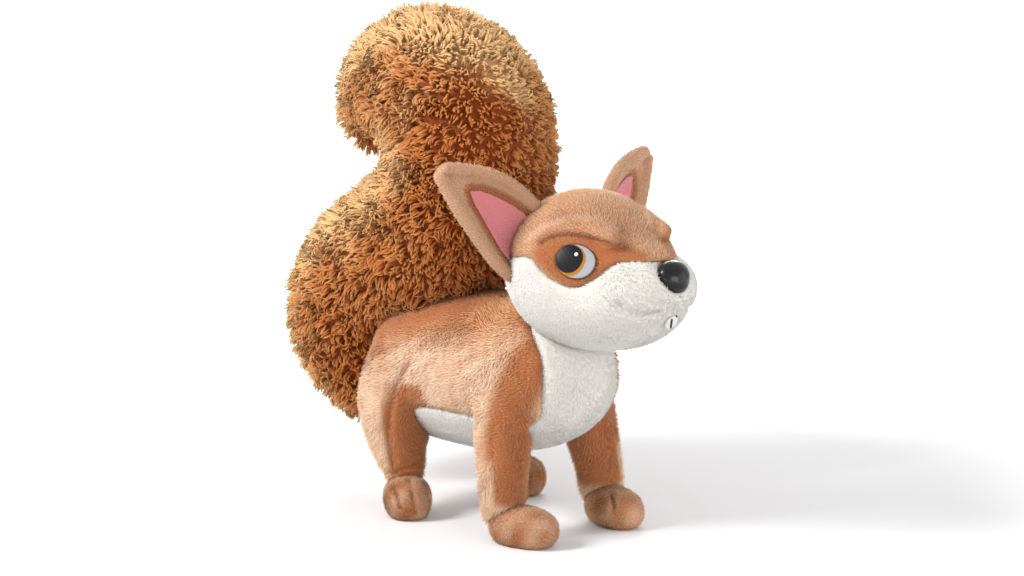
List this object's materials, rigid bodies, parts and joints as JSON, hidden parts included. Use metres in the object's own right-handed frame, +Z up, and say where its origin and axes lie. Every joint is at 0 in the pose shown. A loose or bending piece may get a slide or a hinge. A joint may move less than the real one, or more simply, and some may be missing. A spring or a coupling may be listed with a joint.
{
  "type": "plush squirrel",
  "caption": "Stuffed plush squirrel standing on four legs, with upright ears, a moulded nose and a thick long-pile tail curled over its back.",
  "frame": {"origin": "on the ground, under the middle of the toy's box", "axes": "+Z up, the squirrel faces -Y, its left side is +X"},
  "size_m": [0.1612, 0.3166, 0.2902],
  "materials": {
    "brown_plush": "short brushed pile",
    "white_plush": "short brushed pile",
    "tail_pile": "long curled pile",
    "pink_lining": "short velour",
    "eye_embroidery": "satin stitch",
    "nose_plastic": "gloss",
    "washer_plastic": "matte",
    "white_felt": "felt"
  },
  "bodies": {
    "root": {"back_panel": "brown_plush", "belly_panel": "white_plush", "head_crown": "brown_plush", "face_panel": "white_plush", "ear_left": "brown_plush", "ear_right": "brown_plush", "ear_lining_left": "pink_lining", "ear_lining_right": "pink_lining", "eye_left": "eye_embroidery", "eye_right": "eye_embroidery", "nose": "nose_plastic", "nose_washer": "washer_plastic", "teeth": "white_felt", "front_leg_left": "brown_plush", "front_leg_right": "brown_plush", "rear_leg_left": "brown_plush", "rear_leg_right": "brown_plush", "front_paw_left": "brown_plush", "front_paw_right": "brown_plush", "rear_paw_left": "brown_plush", "rear_paw_right": "brown_plush", "tail": "tail_pile"}
  },
  "joints": []
}
